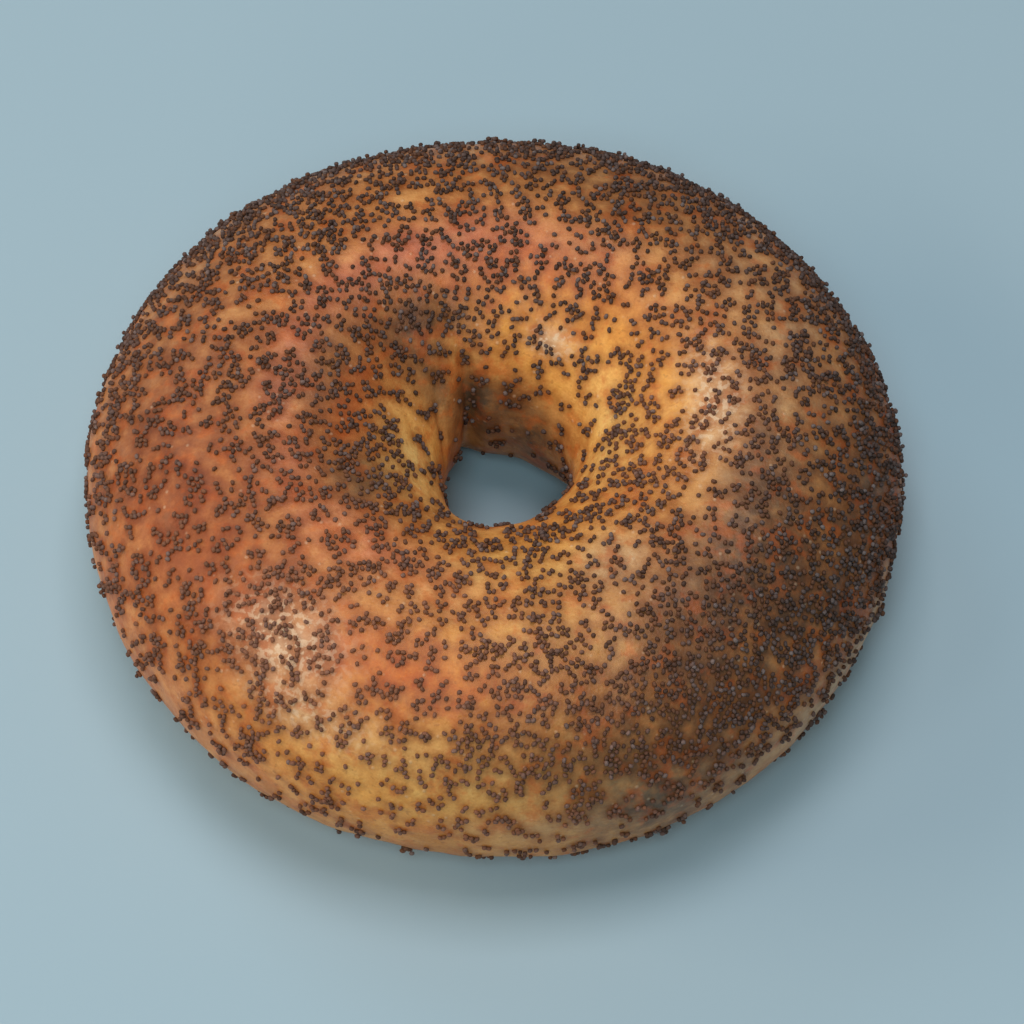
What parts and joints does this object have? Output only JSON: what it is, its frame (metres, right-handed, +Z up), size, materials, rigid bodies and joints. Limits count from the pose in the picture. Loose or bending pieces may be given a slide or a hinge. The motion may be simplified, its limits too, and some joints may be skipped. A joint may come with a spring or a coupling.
{
  "type": "bagel",
  "caption": "Round boiled and baked bagel with a small hole, a flat base and a glossy golden crust closely covered in poppy seeds.",
  "frame": {"origin": "middle of the bagel's footprint, on the surface it lies on", "axes": "+Z up through the hole, +X along the bagel's widest way across"},
  "size_m": [0.1102, 0.1052, 0.0383],
  "materials": {
    "crust": "satin baked crust, mottled golden, orange and blushed brown, stands in for bread",
    "poppy_seed": "dull slate blue-grey poppy seed with a pitted skin"
  },
  "bodies": {
    "root": {"bagel": "crust"}
  },
  "joints": []
}
